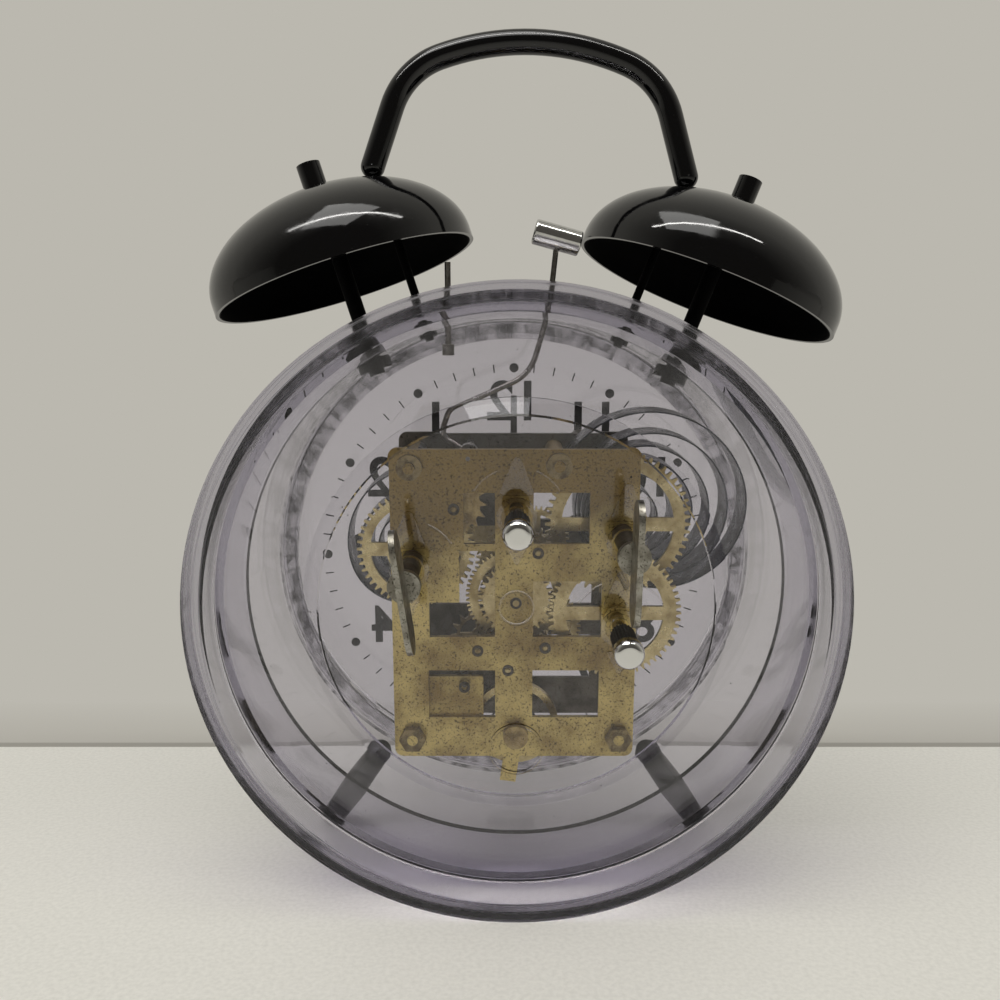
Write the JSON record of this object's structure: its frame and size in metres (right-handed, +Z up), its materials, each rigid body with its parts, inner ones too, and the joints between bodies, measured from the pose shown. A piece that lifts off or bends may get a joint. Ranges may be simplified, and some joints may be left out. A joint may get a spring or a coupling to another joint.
{
  "type": "twin bell alarm clock",
  "caption": "Free-standing wind-up alarm clock: clear round case with its movement visible, black bells and handle above, a hammer between them, keys and knobs at the rear.",
  "frame": {"origin": "on the ground, under the middle of the clock's box", "axes": "+Z up, -Y the side with the dial, +Y the side with the keys, +X to the right of somebody who faces the dial; the clock's own axis leans back 5 degrees"},
  "size_m": [0.1176, 0.0702, 0.1624],
  "materials": {
    "clear_plastic": "clear, lightly scratched",
    "black_enamel": "gloss",
    "dull_nickel": "dull plated",
    "bright_chrome": "polished",
    "aged_brass": "tarnished in patches",
    "spring_steel": "dark, oiled",
    "dark_steel": "dull",
    "black_plastic": "ribbed",
    "black_hand": "satin"
  },
  "bodies": {
    "case": {"case_drum": "clear_plastic", "rear_cover": "clear_plastic", "front_lens": "clear_plastic", "dial_disc": "clear_plastic", "left_leg": "black_enamel", "right_leg": "black_enamel", "leg_nuts": "black_enamel", "left_bell": "black_enamel", "right_bell": "black_enamel", "left_bell_post": "black_enamel", "right_bell_post": "black_enamel", "left_cap_nut": "black_enamel", "right_cap_nut": "black_enamel", "carrying_handle": "black_enamel", "stay_nuts": "black_enamel", "rear_plate": "aged_brass", "front_plate": "dark_steel", "lower_left_pillar": "dark_steel", "lower_right_pillar": "dark_steel", "upper_left_pillar": "dark_steel", "upper_right_pillar": "dark_steel", "pillar_nuts": "dull_nickel", "pillar_collars": "dull_nickel", "dial_feet": "dark_steel", "time_mainspring": "spring_steel", "alarm_mainspring": "spring_steel", "hairspring": "spring_steel", "balance_bush": "aged_brass"},
    "alarm_stop": {"alarm_stop_pin": "dark_steel"},
    "hammer": {"hammer_arbor": "dark_steel", "hammer_wire": "bright_chrome", "hammer_head": "bright_chrome"},
    "time_winding": {"time_winding_arbor": "dark_steel", "time_key": "dull_nickel"},
    "alarm_winding": {"alarm_winding_arbor": "dark_steel", "alarm_key": "dull_nickel"},
    "time_great": {"time_great_wheel": "aged_brass"},
    "time_pawl": {"time_click": "spring_steel"},
    "second": {"second_wheel": "aged_brass"},
    "centre": {"centre_wheel": "aged_brass"},
    "third": {"third_wheel": "aged_brass"},
    "fourth": {"fourth_wheel": "aged_brass"},
    "escape": {"escape_wheel": "aged_brass"},
    "pallet": {"pallet_fork": "dark_steel"},
    "balance": {"balance_wheel": "aged_brass"},
    "regulator": {"regulator_lever": "dark_steel"},
    "alarm_great": {"alarm_great_wheel": "aged_brass"},
    "alarm_pawl": {"alarm_click": "spring_steel"},
    "alarm_escape": {"alarm_escape_wheel": "dark_steel"},
    "time_setting": {"time_set_knob": "black_plastic", "time_set_arbor": "dark_steel"},
    "minute_train": {"minute_wheel": "aged_brass"},
    "minute_motion": {"cannon_pinion": "aged_brass", "minute_hand": "black_hand"},
    "hour_motion": {"hour_wheel": "aged_brass", "hour_hand": "black_hand"},
    "alarm_setting": {"alarm_set_knob": "black_plastic", "alarm_setting_wheel": "aged_brass"},
    "alarm_motion": {"alarm_centre_wheel": "aged_brass", "alarm_hand": "black_hand"}
  },
  "joints": [
    {"name": "alarm_stop_slide", "type": "slide", "parent": "case", "child": "alarm_stop", "axis": [0, -0.0872, -0.9962], "range_m": [0, 0.003]},
    {"name": "hammer_swing", "type": "hinge", "parent": "case", "child": "hammer", "pos_m": [0.00986, 0.00536, 0.08538], "axis": [0, -0.9962, 0.0872], "range_deg": [-15.5, 0]},
    {"name": "time_winding_turn", "type": "hinge", "parent": "case", "child": "time_winding", "pos_m": [-0.01784, 0.01054, 0.07118], "axis": [0, -0.9962, 0.0872], "continuous": true, "deforming": ["time_mainspring"]},
    {"name": "alarm_winding_turn", "type": "hinge", "parent": "case", "child": "alarm_winding", "pos_m": [0.01996, 0.01012, 0.0664], "axis": [0, -0.9962, 0.0872], "continuous": true, "deforming": ["alarm_mainspring"]},
    {"name": "time_great_turn", "type": "hinge", "parent": "case", "child": "time_great", "pos_m": [-0.01784, 0.00257, 0.07187], "axis": [0, -0.9962, 0.0872], "continuous": true},
    {"name": "time_pawl_lift", "type": "hinge", "parent": "time_great", "child": "time_pawl", "pos_m": [-0.01784, 0.00224, 0.07953], "axis": [0, -0.9962, 0.0872], "range_deg": [-8, 0]},
    {"name": "second_turn", "type": "hinge", "parent": "case", "child": "second", "pos_m": [-0.00273, -0.00023, 0.06859], "axis": [0, -0.9962, 0.0872], "continuous": true},
    {"name": "centre_turn", "type": "hinge", "parent": "case", "child": "centre", "pos_m": [0.00126, 0.00463, 0.05874], "axis": [0, -0.9962, 0.0872], "continuous": true},
    {"name": "third_turn", "type": "hinge", "parent": "case", "child": "third", "pos_m": [-0.00414, -0.00389, 0.05081], "axis": [0, -0.9962, 0.0872], "continuous": true},
    {"name": "fourth_turn", "type": "hinge", "parent": "case", "child": "fourth", "pos_m": [0.00269, -0.00706, 0.04671], "axis": [0, -0.9962, 0.0872], "continuous": true},
    {"name": "escape_turn", "type": "hinge", "parent": "case", "child": "escape", "pos_m": [0.00826, -0.00015, 0.04993], "axis": [0, -0.9962, 0.0872], "continuous": true},
    {"name": "pallet_swing", "type": "hinge", "parent": "case", "child": "pallet", "pos_m": [0.01076, -0.00077, 0.04286], "axis": [0, -0.9962, 0.0872], "range_deg": [-5, 5]},
    {"name": "balance_swing", "type": "hinge", "parent": "case", "child": "balance", "pos_m": [0.00126, 0.00191, 0.03339], "axis": [0, -0.9962, 0.0872], "range_deg": [-150, 150], "stiffness_Nm_per_rad": 0.000008, "deforming": ["hairspring"]},
    {"name": "regulator_turn", "type": "hinge", "parent": "case", "child": "regulator", "pos_m": [0.00126, 0.0056, 0.03306], "axis": [0, -0.9962, 0.0872], "range_deg": [-25, 25]},
    {"name": "alarm_great_turn", "type": "hinge", "parent": "case", "child": "alarm_great", "pos_m": [0.01996, 0.00215, 0.06709], "axis": [0, -0.9962, 0.0872], "continuous": true},
    {"name": "alarm_pawl_lift", "type": "hinge", "parent": "alarm_great", "child": "alarm_pawl", "pos_m": [0.01996, 0.00182, 0.07475], "axis": [0, -0.9962, 0.0872], "range_deg": [0, 8]},
    {"name": "alarm_escape_turn", "type": "hinge", "parent": "case", "child": "alarm_escape", "pos_m": [0.01245, 0.00705, 0.07608], "axis": [0, -0.9962, 0.0872], "continuous": true},
    {"name": "time_setting_turn", "type": "hinge", "parent": "case", "child": "time_setting", "pos_m": [0.00126, 0.01094, 0.07576], "axis": [0, -0.9962, 0.0872], "continuous": true},
    {"name": "minute_train_turn", "type": "hinge", "parent": "case", "child": "minute_train", "pos_m": [0.0041, -0.0121, 0.06942], "axis": [0, -0.9962, 0.0872], "continuous": true},
    {"name": "minute_hand_turn", "type": "hinge", "parent": "case", "child": "minute_motion", "pos_m": [0.00126, -0.02635, 0.06146], "axis": [0, -0.9962, 0.0872], "continuous": true},
    {"name": "hour_hand_turn", "type": "hinge", "parent": "case", "child": "hour_motion", "pos_m": [0.00126, -0.02565, 0.06139], "axis": [0, -0.9962, 0.0872], "continuous": true},
    {"name": "alarm_setting_turn", "type": "hinge", "parent": "case", "child": "alarm_setting", "pos_m": [-0.01701, 0.0069, 0.05594], "axis": [0, -0.9962, 0.0872], "continuous": true},
    {"name": "alarm_hand_turn", "type": "hinge", "parent": "case", "child": "alarm_motion", "pos_m": [0.00126, -0.02704, 0.06152], "axis": [0, -0.9962, 0.0872], "continuous": true}
  ],
  "couplings": [
    {"joint": "centre_turn", "follows": "third_turn", "ratio": -0.13333},
    {"joint": "second_turn", "follows": "third_turn", "ratio": 0.093333},
    {"joint": "time_great_turn", "follows": "third_turn", "ratio": -0.016667},
    {"joint": "fourth_turn", "follows": "third_turn", "ratio": -8},
    {"joint": "escape_turn", "follows": "third_turn", "ratio": 64},
    {"joint": "alarm_escape_turn", "follows": "alarm_great_turn", "ratio": -8},
    {"joint": "minute_train_turn", "follows": "time_setting_turn", "ratio": -0.22222},
    {"joint": "minute_hand_turn", "follows": "time_setting_turn", "ratio": 0.66667},
    {"joint": "hour_hand_turn", "follows": "time_setting_turn", "ratio": 0.055556},
    {"joint": "alarm_hand_turn", "follows": "alarm_setting_turn", "ratio": -1.8125}
  ]
}
